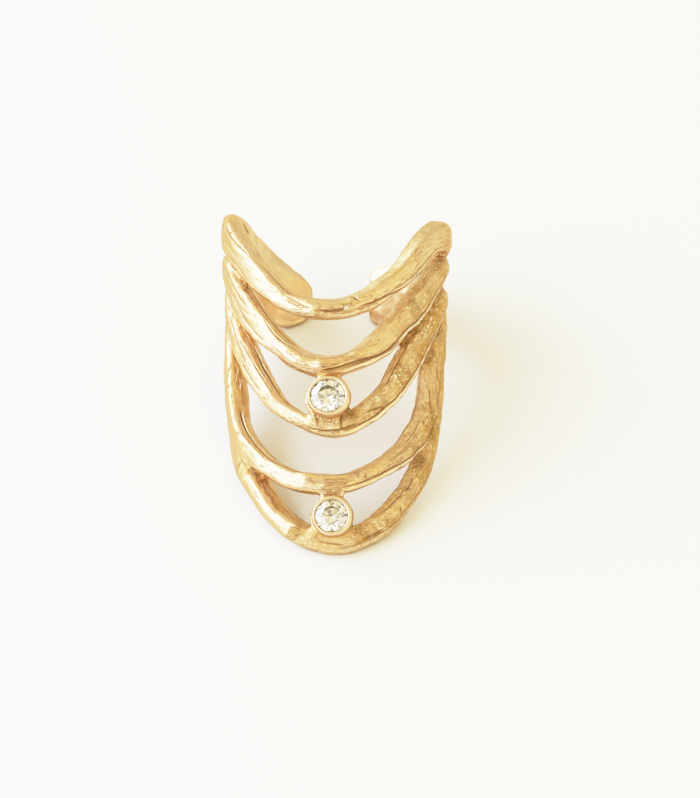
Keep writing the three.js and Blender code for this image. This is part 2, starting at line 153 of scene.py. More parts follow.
# Knife lines left in the wax. Each row: how far outside the hollow, width and depth of the line
# in mm, then the angles and heights that it runs through.
KNIFE_LINES = (
    # band 1
    (0.1, 0.42, 0.30, (-106, 6.1), (-110, 5.7), (-114, 5.2)),
    (1.5, 0.22, 0.26, (-88, 5.4), (-80, 4.8), (-72, 3.8), (-64, 2.7)),
    (0.3, 0.16, 0.14, (-82, 4.3), (-72, 3.2), (-57, 1.7), (-47, 0.7)),
    (0.9, 0.20, 0.12, (-45, -0.3), (-37, -1.4), (-31, -2.3), (-24, -2.9), (-13, -3.5), (4, -3.6)),
    (1.6, 0.14, 0.12, (-26, -3.2), (-18, -4.2), (-13, -4.6)),
    (1.6, 0.14, 0.10, (-25, -3.8), (-18, -4.5)),
    (1.6, 0.20, 0.26, (-11, -4.8), (-3, -4.9), (2, -4.8), (5, -4.5)),
    (1.6, 0.16, 0.12, (8, -3.3), (11, -3.9)),
    (1.6, 0.16, 0.18, (11, -4.5), (18, -4.1), (25, -3.5), (34, -2.8), (42, -2.1), (47, -1.3)),
    (1.6, 0.14, 0.14, (-74, 4.4), (-66, 3.2), (-58, 2.0), (-50, 1.0)),
    (1.6, 0.12, 0.10, (-76, 3.6), (-68, 2.4), (-60, 1.0)),
    (1.6, 0.12, 0.10, (-70, 1.6), (-62, 0.5), (-54, -0.9)),
    # band 2
    (1.6, 0.12, 0.12, (-76, 0.6), (-68, -0.6), (-60, -2.2), (-52, -3.7)),
    (1.6, 0.12, 0.10, (-74, -0.6), (-66, -2.0), (-58, -3.7), (-50, -5.4)),
    (1.6, 0.12, 0.10, (-56, -4.4), (-48, -5.9), (-40, -7.2)),
    (0.8, 0.18, 0.16, (-52, -2.3), (-45, -3.7), (-38, -5.2), (-29, -6.6), (-22, -7.7)),
    (1.5, 0.16, 0.14, (-39, -5.3), (-33, -6.7), (-24, -7.7), (-18, -8.4)),
    (1.5, 0.14, 0.12, (-4, -8.8), (4, -8.4), (8, -8.1)),
    (1.6, 0.20, 0.24, (-9, -10.2), (-4, -10.2), (4, -9.8), (12, -9.3), (23, -8.8), (31, -8.0),
     (39, -6.9)),
    # band 3
    (1.6, 0.12, 0.12, (-72, -3.8), (-66, -5.4), (-60, -7.2), (-54, -8.9)),
    (1.6, 0.12, 0.10, (-58, -8.6), (-50, -10.2), (-43, -11.6)),
    (0.8, 0.20, 0.18, (-54, -6.8), (-48, -7.8), (-44, -9.2), (-37, -10.7), (-30, -12.0),
     (-22, -13.3)),
    (1.5, 0.14, 0.12, (-59, -6.5), (-51, -8.3), (-42, -10.1), (-35, -11.4), (-26, -12.8)),
    (1.6, 0.16, 0.16, (-16, -15.2), (-8, -15.6), (0, -15.6), (7, -15.2), (13, -14.8)),
    (1.6, 0.16, 0.14, (15, -13.9), (21, -13.5), (26, -13.3)),
    (1.2, 0.16, 0.14, (14, -12.7), (24, -11.7), (29, -10.6), (36, -8.4), (41, -7.1)),
    # the tab below the upper cup
    (1.8, 0.12, 0.07, (-8.2, -14.1), (-8.4, -14.7), (-8.1, -15.3)),
    (1.8, 0.12, 0.08, (-6.2, -14.2), (-6.4, -14.8), (-6.2, -15.4)),
    (1.8, 0.12, 0.07, (-4.3, -14.3), (-4.4, -14.8), (-4.1, -15.4)),
    (1.8, 0.12, 0.08, (-2.3, -14.2), (-2.4, -14.8), (-2.3, -15.3)),
    (1.8, 0.12, 0.07, (-0.4, -14.2), (-0.5, -14.7), (-0.2, -15.2)),
    (1.7, 0.24, 0.26, (2.6, -13.6), (3.2, -14.3), (3.0, -15.0)),
    (1.7, 0.18, 0.18, (-10.2, -14.0), (-10.4, -14.6), (-10.0, -15.1)),
    # band 4
    (0.8, 0.18, 0.14, (-67, -9.0), (-63, -10.9), (-61, -12.1)),
    (1.0, 0.18, 0.16, (-75, -11.5), (-68, -13.1), (-56, -15.2), (-46, -16.7), (-38, -17.8),
     (-30, -18.5), (-21, -18.9)),
    (1.6, 0.14, 0.09, (-14, -20.0), (-8, -20.1), (0, -20.1), (6, -20.0)),
    (1.6, 0.16, 0.13, (18, -19.7), (26, -19.2), (35, -18.2)),
    (1.6, 0.14, 0.10, (29, -18.1), (35, -17.3), (41, -16.6)),
    (1.4, 0.16, 0.14, (38, -16.2), (44, -15.4), (49, -14.0), (53, -12.4)),
    # the right side, where the lower bands run together
    (1.6, 0.18, 0.20, (50, -10.4), (51, -12.0), (49, -13.3)),
    (1.6, 0.16, 0.16, (53.5, -10.8), (55.5, -12.5)),
    (1.6, 0.16, 0.16, (57, -11.0), (60, -12.9)),
    (1.6, 0.18, 0.20, (66, -8.6), (67, -10.4), (68, -12.2)),
    # band 5
    (1.0, 0.14, 0.08, (-52, -18.9), (-44, -21.2), (-35, -22.3)),
    (0.8, 0.14, 0.06, (-48, -19.4), (-38, -21.3), (-27, -22.9)),
    (1.6, 0.14, 0.10, (-10, -25.3), (-3, -25.5), (5, -25.7)),
    (1.6, 0.14, 0.12, (14, -25.2), (21, -24.7), (25, -24.3)),
    (1.2, 0.16, 0.14, (25, -22.7), (31, -22.1), (37, -21.1), (41, -20.4)),
    (1.6, 0.14, 0.14, (36.4, -22.0), (37.2, -22.9)),
    (1.4, 0.16, 0.14, (42.5, -18.8), (44, -19.5), (41.5, -20.4)),
)

# Beads and hollows: angle, height, radius and rise in mm, and how pitted the metal is there.
SPOTS = (
    (-58.5, -18.4, 0.55, 0.22, 1.0), (-57.5, -18.6, 0.20, -0.25, 1.0),
    (-22, -24.4, 0.50, 0.18, 1.0), (-21, -24.7, 0.18, -0.18, 1.0),
    (-10, -4.9, 0.30, -0.13, 0.4), (-5, -5.0, 0.32, -0.14, 0.4), (0, -4.7, 0.28, -0.12, 0.4),
    (-8, -9.4, 0.45, 0.08, 0.0), (8, -4.2, 0.50, 0.14, 0.0), (11, -8.8, 0.60, 0.16, 0.0),
    (-18, -19.6, 0.60, 0.08, 0.0),
    (7, -13.9, 0.75, -0.28, 1.0), (17, -13.3, 0.55, 0.22, 0.0), (23, -12.4, 0.40, 0.12, 0.0),
    (-9, -14.9, 0.50, -0.08, 1.0), (-3.5, -14.7, 0.80, 0.0, 0.9),
    (10.5, -19.4, 0.40, -0.16, 0.8), (16, -19.5, 0.40, -0.14, 0.8),
    (62.5, -15.2, 0.60, -0.12, 1.0), (66, -12.9, 0.40, 0.20, 0.4), (51, -17.1, 0.60, -0.18, 0.3),
    (7.5, -24.7, 0.40, -0.08, 1.0), (12, -24.3, 0.40, -0.10, 1.0), (17, -23.8, 0.40, -0.10, 1.0),
    (22.6, -24.3, 0.35, -0.08, 1.0), (34, -22.6, 0.50, 0.22, 0.0), (-4, -25.5, 0.60, -0.06, 0.9),
    (45, -3.6, 0.90, 0.0, 0.8), (36, -7.0, 0.80, 0.0, 0.8), (56, -1.0, 0.80, 0.0, 0.7),
    (40, -9.8, 1.00, 0.0, 1.0), (30, -12.0, 0.80, 0.0, 0.8), (35, -17.5, 0.80, 0.0, 0.7),
    (-11, -24.7, 0.70, 0.0, 0.9), (0, -24.7, 0.80, 0.0, 0.9), (10, -24.6, 0.90, 0.0, 1.0),
    (19, -23.9, 0.80, 0.0, 0.9),
)
# The hammering of each band: the degrees where it starts and where it is full, and how hard the
# band was hammered. The top band was left almost smooth.
HAMMERING = {
    "band_1": (4, 38, 0.15), "band_2": (4, 38, 0.6), "band_3": (4, 38, 1.0),
    "band_4": (4, 38, 0.9), "band_5": (-34, 6, 0.75),
}
HAMMERED_OUT = (95, 70)  # degrees where it has ended, back to where it is still full
UNTOUCHED = (0, 1, 0.0)


def on_finger(angle, outside, height):
    """The point at an angle round the finger, outside its hollow, at a height."""
    radius = FINGER_RADIUS + TAPER * height + outside
    turn = math.radians(angle)
    return Vector((radius * math.sin(turn), -radius * math.cos(turn), height))


def ramp(value, start, end):
    """0 up to the start and 1 from the end, in a straight line between them."""
    return min(1.0, max(0.0, (value - start) / (end - start)))


def between(rows, place):
    """A table's values at a place along its rows, smoothly from row to row."""
    row = min(int(place), len(rows) - 2)
    t = place - row
    a, b, c, d = (rows[min(max(row + k, 0), len(rows) - 1)] for k in (-1, 0, 1, 2))
    return [
        0.5 * (2 * q + (r - p) * t + (2 * p - 5 * q + 4 * r - s) * t * t
               + (3 * q - p - 3 * r + s) * t * t * t)
        for p, q, r, s in zip(a, b, c, d)
    ]


def stations(rows):
    """Even steps along a band: its middle, the directions along, across and out, and its size."""
    fine = [between(rows, k / 12) for k in range(12 * (len(rows) - 1) + 1)]
    middles = [on_finger(angle, depth / 2, height) for angle, height, _, depth in fine]
    kept = []
    walked = STEP
    length = 0.0
    for k, middle in enumerate(middles):
        if k:
            walked += (middle - middles[k - 1]).length
            length += (middle - middles[k - 1]).length
        if walked < STEP and k < len(middles) - 1:
            continue
        walked = 0.0
        along = (middles[min(k + 1, len(middles) - 1)] - middles[max(k - 1, 0)]).normalized()
        out = Vector((middle.x, middle.y, 0)).normalized()
        across = along.cross(out).normalized()
        out = across.cross(along).normalized()
        kept.append((middle, along, across, out, fine[k][0], fine[k][2], fine[k][3], length))
    return kept


def draw_band(wax, rows, paring):
    """A closed bar of squarish section drawn along a band, with its outer corners pared."""
    turns, cuts_back, falls = zip(*paring)
    places = stations(rows)
    loop = bmesh.ops.create_circle(wax, segments=SECTION_SIDES, radius=1, cap_ends=True)["verts"]
    circle = [vert.co.xy.copy() for vert in loop]
    for k, (middle, along, across, out, angle, width, depth, _) in enumerate(places):
        square = np.interp(abs(angle), (ROUNDED_FROM, ROUNDED_BY), (SQUARE, ROUNDED))
        corners = [[math.copysign(abs(v) ** square, v) for v in point] for point in circle]
        cut_back = np.interp(angle, turns, cuts_back)
        fall = np.interp(angle, turns, falls)
        if k:
            rims = [wax.edges.get((loop[i - 1], loop[i])) for i in range(len(loop))]
            grown = bmesh.ops.extrude_edge_only(wax, edges=rims)["geom"]
            fresh = {g for g in grown if isinstance(g, bmesh.types.BMVert)}
            loop = [next(e.other_vert(vert) for e in vert.link_edges
                         if e.other_vert(vert) in fresh) for vert in loop]
        for vert, (x, y) in zip(loop, corners):
            outer = (1 + y) / 2
            reach = x * width / 2 + cut_back * outer * (1 - x) / 2
            rise = y * depth / 2 - fall * outer * max(0.0, x - PARED_FROM) / (1 - PARED_FROM)
            vert.co = middle + across * reach + out * rise
    wax.faces.new(reversed(loop))
    return places


# A setting: angle, height, how far the girdle stands out, how much it faces up the finger, and
# the diameter of the stone.
SETTINGS = {"upper": (-4, -12.6, 2.1, 11, 3.2), "lower": (-2.3, -23.2, 2.1, 5, 3.0)}
CUP_WALL = 0.36
FILLET = 0.28  # mm of solder round the foot of each cup


def setting_frame(angle, height, standout, tilt, _):
    """Where a setting stands: X to the right, Z the way that the stone faces."""
    out = on_finger(angle, 0, 0).normalized()
    lift = math.radians(tilt)
    facing = out * math.cos(lift) + Vector((0, 0, math.sin(lift)))
    up = Vector((0, 0, math.cos(lift))) - out * math.sin(lift)
    turn = Matrix((up.cross(facing), up, facing)).transposed().to_4x4()
    return Matrix.Translation(on_finger(angle, standout, height)) @ turn


UNPARED = ((0, 0.0, 0.0), (1, 0.0, 0.0))  # the tongues, which the knife left alone
APART = 80  # mm between the grain of one band and the next, so that no two are alike

wax = bmesh.new()
grain = {"bands": [], "tongues": []}
for number, (name, rows) in enumerate([*BANDS.items(), *TONGUES.items()]):
    places = draw_band(wax, rows, PARING.get(name, UNPARED))
    kind = "bands" if name in BANDS else "tongues"
    for middle, along, across, out, _, width, _, length in places:
        grain[kind].append((middle, along, across, out, width / 2, name, length + APART * number))

# The solder, in mm: a fillet round each cup's foot and a neck up to the band above.
FILLET_DROP = 0.85  # from the girdle down to the fillet
NECK_SIZE = (2.0, 1.6, 1.1)
NECK_DROP = 1.15
NECK_REACH = 0.8  # from the middle of the cup's wall to the middle of the neck

for setting in SETTINGS.values():
    place = setting_frame(*setting)
    foot = setting[4] / 2 + CUP_WALL - FILLET / 2
    before = set(wax.verts)
    ring = bmesh.ops.create_circle(wax, segments=12, radius=FILLET, cap_ends=False)["verts"]
    bmesh.ops.rotate(wax, verts=ring, matrix=Matrix.Rotation(math.radians(90), 3, "X"))
    bmesh.ops.translate(wax, verts=ring, vec=(foot, 0, -FILLET_DROP))
    rim = {e for v in ring for e in v.link_edges}
    bmesh.ops.spin(wax, geom=[*ring, *rim], axis=(0, 0, 1), angle=math.tau, steps=40,
                   use_merge=True)
    solder = [vert for vert in wax.verts if vert not in before]
    bmesh.ops.transform(wax, matrix=place, verts=solder)
    block = bmesh.ops.create_cube(wax, size=1)["verts"]
    reach = setting[4] / 2 + CUP_WALL / 2 + NECK_REACH
    bmesh.ops.scale(wax, verts=block, vec=NECK_SIZE)
    bmesh.ops.translate(wax, verts=block, vec=(0, reach, -NECK_DROP))
    bmesh.ops.transform(wax, matrix=place, verts=block)

# The upper cup also sits on a flat tab, which was pressed on to the band below it.
TAB = (-3.5, -14.7, 1.24, 0, 0)  # placed as a setting is
TAB_SIZE = (2.2, 1.8, 1.0)
TAB_TURN = -7  # degrees, to lie along the band

tab = bmesh.ops.create_cube(wax, size=1)["verts"]
bmesh.ops.scale(wax, verts=tab, vec=TAB_SIZE)
bmesh.ops.rotate(wax, verts=tab, matrix=Matrix.Rotation(math.radians(TAB_TURN), 3, "Y"))
bmesh.ops.transform(wax, matrix=setting_frame(*TAB), verts=tab)
bmesh.ops.recalc_face_normals(wax, faces=wax.faces)

# Casting makes one solid of it all, and the edges soften.
mesh = bpy.data.meshes.new("casting")
wax.to_mesh(mesh)
wax.free()
casting = bpy.data.objects.new("casting", mesh)
bpy.context.scene.collection.objects.link(casting)
fuse = casting.modifiers.new("fuse", "REMESH")
fuse.mode = "VOXEL"
fuse.voxel_size = METAL_GRID
fused = bpy.data.meshes.new_from_object(
    casting.evaluated_get(bpy.context.evaluated_depsgraph_get()))
casting.modifiers.clear()
casting.data = fused

metal = bmesh.new()
metal.from_mesh(fused)
bmesh.ops.smooth_vert(metal, verts=metal.verts, factor=0.3, use_axis_x=True, use_axis_y=True,
                      use_axis_z=True)
metal.normal_update()

# Where each point lies on its band: mm along it, across it and outwards.
nearest = {}
for kind, laid in grain.items():
    nearest[kind] = kdtree.KDTree(len(laid))
    for k, (middle, *_) in enumerate(laid):
        nearest[kind].insert(middle, k)
    nearest[kind].balance()

# The knife lines, traced in short steps. They fade in and out at their ends.
TRACED = 20  # steps between two points of a line's route
LINE_SWELL = 5  # a line is at its full depth after a fifth of its length
LEAST_LINE = 0.2  # how much of a line shows at its ends, and where it is hardly cut
lines = []
for outside, width, depth, *route in KNIFE_LINES:
    steps = TRACED * (len(route) - 1)
    traced = [on_finger(turn, outside, height) for turn, height in
              (between(route, k * (len(route) - 1) / steps) for k in range(steps + 1))]
    for k, point in enumerate(traced):
        heading = (traced[min(k + 1, steps)] - traced[max(k - 1, 0)]).normalized()
        fade = min(1.0, LEAST_LINE + LINE_SWELL * min(k, steps - k) / steps)
        lines.append((point, heading, width, depth, fade))
cuts = kdtree.KDTree(len(lines))
for k, (point, *_) in enumerate(lines):
    cuts.insert(point, k)
cuts.balance()
LINE_REACH = 0.5  # mm from a knife line where its mark ends
LINE_FADE = 0.15  # mm over which it fades there
LINE_SINK = 0.5  # how much of a line's depth is cut; its dark bottom, oxide and painted shade, gives the rest
FINEST_CUT = 0.2  # mm; a finer line is cut as wide as this
FULL_LINE = 0.2  # mm of depth that leaves a fully dark line of oxide and painted shade

SPOT_DEPTH = 1.6  # mm outside the hollow, where the beads and hollows sit
SPOT_REACH = 2.2  # times a spot's radius, where it ends
PITS_SPREAD = 0.8  # the pits spread wider than the spot that they are in
HOLLOW = -0.1  # mm; a spot that lies deeper gathers dirt and painted shade
DIRT_AND_SHADE = 0.6

TONGUES_FROM = 99  # degrees from the front, where the bands have run into the tongues
MEETING = 3  # degrees on each side, where the two grains were rubbed smooth
TONGUE_CALM = 0.75  # how far the grain is polished away on the tongues

# The thumb pushed a thin rim up along the lower edge of the bands, on the right. In mm.
RIMMED = {"band_1": 0.5, "band_2": 1.0, "band_3": 1.0, "band_4": 0.9, "band_5": 0.5}
RIM_IN = (-8, 12)  # degrees, where the rim grows to its full height
RIM_OUT = (85, 65)  # and where it has ended, back to where it is still full
RIM_FACE = (-0.2, 0.2)  # from the middle of the band's depth, where the rim sets in
RIM_WIDTH = 0.46
RIM_DEPTH = 0.10  # of the crease beside it
RIM_CREASE = 0.15  # half the width of that crease
RIM_CREST = 0.2  # from the edge of the band to the crest, and half the crest's width
RIM_LIFT = 0.4  # the height of the crest, to the depth of the crease

# The uneven surface of hand-worked wax: rise in mm, waves for each mm along the band and across
# it, and where in the noise they start.
UNEVEN = ((0.09, 0.35, 0.3, 0), (0.05, 0.9, 1.3, 7))
DIMPLES = 1.25  # for each mm
DIMPLE_EDGE = 0.6
DIMPLE_DEPTH = 0.05  # mm on the smooth side
HAMMER_DEPTH = 0.13  # mm more where it is hammered

# The modelling, point by point: the grain and the unevenness of the wax, the rim, the hammer's
# dimples, the nearest knife line, and the beads and hollows.
spots = [(on_finger(angle, SPOT_DEPTH, height), *rest) for angle, height, *rest in SPOTS]
flow = []
carved = []
hammered = []
beside = []
scored = []
rims = []
below = []
calm = []
moves = []
for vert in metal.verts:
    angle = math.degrees(math.atan2(vert.co.x, -vert.co.y))
    kind = "bands" if abs(angle) < TONGUES_FROM else "tongues"
    meeting = math.exp(-((abs(angle) - TONGUES_FROM) / MEETING) ** 2)
    calm.append(max(meeting, 0.0 if kind == "bands" else TONGUE_CALM))
    middle, along, across, out, half, name, length = grain[kind][nearest[kind].find(vert.co)[1]]
    off = vert.co - middle
    here = Vector((length + off.dot(along), off.dot(across), off.dot(out)))
    flow.append(here)

    start, full, strength = HAMMERING.get(name, UNTOUCHED)
    rough = ramp(angle, start, full) * ramp(angle, *HAMMERED_OUT) * strength
    rise = sum(height * noise.noise(Vector((here.x * long, here.y * wide, here.z * wide + start)))
               for height, long, wide, start in UNEVEN)

    low = half - here.y
    rim = RIMMED.get(name, 0.0) * ramp(angle, *RIM_IN) * ramp(angle, *RIM_OUT)
    rim *= ramp(here.z, *RIM_FACE)
    rims.append(rim)
    below.append(low / RIM_WIDTH)
    rise -= RIM_DEPTH * rim * math.exp(-((low - RIM_WIDTH) / RIM_CREASE) ** 2)
    rise += RIM_LIFT * RIM_DEPTH * rim * math.exp(-((low - RIM_CREST) / RIM_CREST) ** 2)

    dimple = noise.voronoi(here * DIMPLES)[0][0]
    rise -= (DIMPLE_DEPTH + HAMMER_DEPTH * rough) * max(0.0, DIMPLE_EDGE - dimple)

    point, k, gap = cuts.find(vert.co)
    _, heading, width, depth, fade = lines[k]
    beside.append((vert.co - point).dot(vert.normal.cross(heading)) / width)
    close = ramp(gap, LINE_REACH, LINE_REACH - LINE_FADE)
    scored.append(fade * close * min(1.0, depth / FULL_LINE + LEAST_LINE))
    rise -= LINE_SINK * depth * fade * math.exp(-(gap / max(width, FINEST_CUT)) ** 2)

    mark = 0.0
    for point, radius, height, pitted in spots:
        reach = (vert.co - point).length / radius
        if reach < SPOT_REACH:
            swell = math.exp(-reach * reach)
            rise += height * swell
            rough = max(rough, pitted * math.exp(-(reach * PITS_SPREAD) ** 2))
            if height < HOLLOW:
                mark = max(mark, DIRT_AND_SHADE * swell)
    carved.append(min(1.0, mark))
    hammered.append(rough)
    moves.append(vert.normal * rise)

# The ring leaves the mandrel, is smoothed over once and laid on the floor.
for vert, move in zip(metal.verts, moves):
    vert.co += move
bmesh.ops.smooth_vert(metal, verts=metal.verts, factor=0.2, use_axis_x=True, use_axis_y=True,
                      use_axis_z=True)
to_floor = (Matrix.Scale(MM, 4) @ Matrix.Translation(AXIS_FOOT)
            @ Matrix.Rotation(-math.radians(LEAN), 4, "X"))
bmesh.ops.transform(metal, matrix=to_floor, verts=metal.verts)
for vert in metal.verts:
    vert.co.z = max(vert.co.z, 0.0)
metal.to_mesh(fused)
metal.free()
fused.shade_smooth()
grain_at = fused.attributes.new("flow", "FLOAT_VECTOR", "POINT")
grain_at.data.foreach_set("vector", [value for here in flow for value in here])
for name, values in (("carved", carved), ("hammered", hammered), ("beside", beside),
                     ("scored", scored), ("rims", rims), ("below", below), ("calm", calm)):
    fused.attributes.new(name, "FLOAT", "POINT").data.foreach_set("value", values)


class Finish:
    """One value in a material; sums and products of them add their Math nodes."""

    def __init__(self, material, socket=None):
        self.material = material
        self.socket = socket

    def node(self, kind, settings=(), inputs=(), result=0):
        """The result of a new node with these settings and input values or links."""
        tree = self.material.node_tree
        made = tree.nodes.new(kind)
        for name, value in dict(settings).items():
            setattr(made, name, value)
        for name, value in dict(inputs).items():
            if isinstance(value, Finish):
                tree.links.new(value.socket, made.inputs[name])
            else:
                made.inputs[name].default_value = value
        return Finish(self.material, made.outputs[result])

    def maths(self, operation, *values, clamp=False):
        """One Math node on these values."""
        settings = {"operation": operation, "use_clamp": clamp}
        return self.node("ShaderNodeMath", settings, dict(enumerate(values)))

    def __add__(self, other):
        return self.maths("ADD", self, other)

    def __sub__(self, other):
        return self.maths("SUBTRACT", self, other)

    def __rsub__(self, other):
        return self.maths("SUBTRACT", other, self)

    def __mul__(self, other):
        return self.maths("MULTIPLY", self, other)

    __radd__ = __add__
    __rmul__ = __mul__

    def feeds(self, name):
        """This value drives a socket of the material's own shader."""
        shader = self.material.node_tree.nodes["Principled BSDF"]
        self.material.node_tree.links.new(self.socket, shader.inputs[name])


PALE_GOLD = (0.69, 0.485, 0.29, 1)
DEEP_GOLD = (0.64, 0.39, 0.125, 1)
# painted rosy sheen: a pale highlight on the rims and lips
PAINTED_ROSY_SHEEN = (0.82, 0.63, 0.43, 1)
# painted highlight for the crests of the scratch marks
PAINTED_CREST_HIGHLIGHT = (0.92, 0.74, 0.44, 1)
# painted shade, laid in the troughs of the scratch marks
SHADED = (0.38, 0.19, 0.06, 1)
# dark oxide and painted shade for the knife lines, creases and hollows
OXIDE_AND_SHADE = (0.22, 0.09, 0.03, 1)
# painted glint colour for bright specks
PAINTED_GLINT = (1.00, 0.90, 0.66, 1)
EDGE_TINT = (0.80, 0.64, 0.44, 1)
# Clouds in the metal, waves for each metre: deeper patches, clumps of hammer blows, the dents in
# them and the specks of painted glint.
PATCHES = 420.0
CLUMPS = 330.0
DENTS = 1500.0
SPECKS = 3600.0
# Marks drawn along the grain: waves for each mm along the band, across it and outwards.
STREAKS = (0.7, 4.5, 4.5)
SCRATCHES = (1.8, 5.0, 5.0)
HAIR_LINES = (0.28, 1.7, 1.7)
RELIEF = 0.00012  # metres between the highest and the lowest of the marks
# How dull the metal is, and what its finishes add to that.
POLISHED = 0.16
PATCH_DULL = 0.10
BEATEN_DULL = 0.06
LINE_DULL = 0.15
SATIN_DULL = 0.16


def blend(start, mask, first, second):
    """A mix of two colours."""
    return start.node("ShaderNodeMix", {"data_type": "RGBA"},
                      {0: mask, 6: first, 7: second}, result=2)


gold = bpy.data.materials.new("gold")
gold.use_nodes = True
shader = gold.node_tree.nodes["Principled BSDF"]
shader.inputs["Metallic"].default_value = 1
shader.inputs["Specular Tint"].default_value = EDGE_TINT
make = Finish(gold)


def kept_value(name, result="Fac"):
    """An attribute of the casting's points."""
    return make.node("ShaderNodeAttribute", {"attribute_name": name}, result=result)


def step(value, start, end):
    """0 up to the start and 1 from the end, smoothly."""
    return make.node("ShaderNodeMapRange", {"interpolation_type": "SMOOTHSTEP"},
                     {"Value": value, "From Min": start, "From Max": end})


def noise_at(place, scale, detail, roughness=0.5):
    """Cloudy noise, finer with each level of detail."""
    return make.node("ShaderNodeTexNoise", inputs={
        "Vector": place, "Scale": scale, "Detail": detail, "Roughness": roughness})


def along_grain(waves, detail, roughness):
    """Noise that is drawn out along the bands."""
    drawn = make.node("ShaderNodeMapping", inputs={"Vector": flow_at, "Scale": waves})
    return noise_at(drawn, 1.0, detail, roughness)


place = make.node("ShaderNodeTexCoord", result="Object")
flow_at = kept_value("flow", "Vector")

# Where the hammering, the knife lines, the rims and the satin inside of the ring are.
beaten = kept_value("hammered")
line = step(make.maths("ABSOLUTE", kept_value("beside")), 0.85, 0.15) * kept_value("scored")
low = kept_value("below")
rim = step(low, 0.98, 0.86) * kept_value("rims")
crease = step(make.maths("ABSOLUTE", low - 1), 0.24, 0.04) * kept_value("rims")
line = make.maths("MAXIMUM", line, crease)
outward = make.node("ShaderNodeSeparateXYZ", inputs={0: flow_at}, result="Z")
satin = step(outward, -0.3, -0.62)
clumps = noise_at(place, CLUMPS, 1.0)
beaten = beaten * (1 - rim) * (1 - satin * 0.9) * (0.35 + step(clumps, 0.40, 0.60) * 0.85)

# Streaks and scratches drawn along the bands, dents between them and hair lines over all.
streaks = along_grain(STREAKS, 3.0, 0.6)
marks = along_grain(SCRATCHES, 4.0, 0.7)
dents = make.node("ShaderNodeTexVoronoi", {"feature": "SMOOTH_F1"},
                  {"Vector": place, "Scale": DENTS, "Smoothness": 0.3})
relief = streaks * 0.5 + dents * (0.15 + beaten * 2.4) + marks * (0.25 + beaten * 5.0)
relief = relief - line * 0.8
threads = along_grain(HAIR_LINES, 2.0, 0.6)
hair = step(make.maths("ABSOLUTE", threads - 0.5), 0.022, 0.006)
rubbed = kept_value("calm")
hair = hair * step(marks, 0.42, 0.56) * (1 - satin) * (1 - rubbed)
relief = (relief - hair * 0.45) * (1 - satin * 0.85) * (1 - rubbed)
bump = make.node("ShaderNodeBump", inputs={"Height": relief, "Distance": RELIEF,
                                           "Strength": 0.85})
bump.feeds("Normal")

# Pale gold with deeper patches, painted shade in the troughs of the scratch marks, painted
# highlights on their crests, painted glints, a painted rosy sheen on the rims and lips, and dark
# oxide with painted shade in the lines and hollows.
cloud = noise_at(place, PATCHES, 2.0)
patch = make.maths("MULTIPLY_ADD", cloud, 2.4, -0.85, clamp=True)
tone = blend(make, patch * 0.40 + beaten * 0.7, PALE_GOLD, DEEP_GOLD)
# Painted shade in the troughs of the scratch marks, stronger where the metal is hammered.
shade = step(marks, 0.46, 0.36) * (0.10 + beaten * 0.5) * (1 - rubbed)
tone = blend(make, shade, tone, SHADED)
# A painted highlight on the crests of the scratch marks.
tone = blend(make, step(marks, 0.54, 0.62) * (0.25 + beaten * 0.6), tone, PAINTED_CREST_HIGHLIGHT)
# Painted glints: bright specks on the hammered metal.
painted_glints = step(noise_at(place, SPECKS, 1.0), 0.60, 0.68) * beaten
tone = blend(make, painted_glints * 0.9, tone, PAINTED_GLINT)
# A painted highlight: the pale rosy sheen along the pushed-up rims and the burnished lips of the
# cups.
tone = blend(make, rim * 0.9, tone, PAINTED_ROSY_SHEEN)
# The same painted sheen, weaker, lightens the satin inside.
tone = blend(make, satin * 0.25, tone, PAINTED_ROSY_SHEEN)
# Dark oxide and painted shade in the knife lines, the creases by the rims, the hair lines and the
# deeper hollows.
line = make.maths("MAXIMUM", line, hair * 0.7)
oxide_and_shade = make.maths("MAXIMUM", kept_value("carved") * 0.5, line * 0.75)
tone = blend(make, oxide_and_shade, tone, OXIDE_AND_SHADE)
tone.feeds("Base Color")
dull = POLISHED + patch * PATCH_DULL + beaten * BEATEN_DULL + line * LINE_DULL
dull = dull + satin * SATIN_DULL
dull.feeds("Roughness")
fused.materials.append(gold)
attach(casting, "root")
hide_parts("cast_ring")

# ---------------------------------------------------------------------------------------------
# The two bezel cups. Short gold tubes with a thin lip burnished over the stone and an open bore
# behind it, soldered to the band below and to the neck of the band above.
# ---------------------------------------------------------------------------------------------

CUP_LIP = 0.3  # mm from the middle of the girdle up to the rim
LIP_REACH = 0.1  # mm that the lip comes in over the stone
CUP_DEPTH = 1.8
BORE = 0.5  # the open back, to the stone's radius
SEAT_SLOPE = 0.84  # the seat falls away below the stone as the stone itself does
STONE_GAP = 0.06
BACK_TAPER = 0.36  # mm that the tube is narrower at its back
WOBBLE = 0.03  # how far the tube is out of true, to its size, in long and short waves
RIPPLE = 0.015
TRUE_BORE = 0.3  # how much of that is also in the bore
LIP_SHEEN = 0.85  # how strongly the burnished lip gets the painted rosy sheen, a painted highlight as on the rims
LIP_SHEEN_FROM = -0.5  # mm from the girdle; the tube below is plain
BURNISHED = -0.55  # the satin finish of the metal's inside, nearly in full
OFF_CENTRE = Vector((0.10, 0.08, 0))  # the wall was filed thinner on the left and below

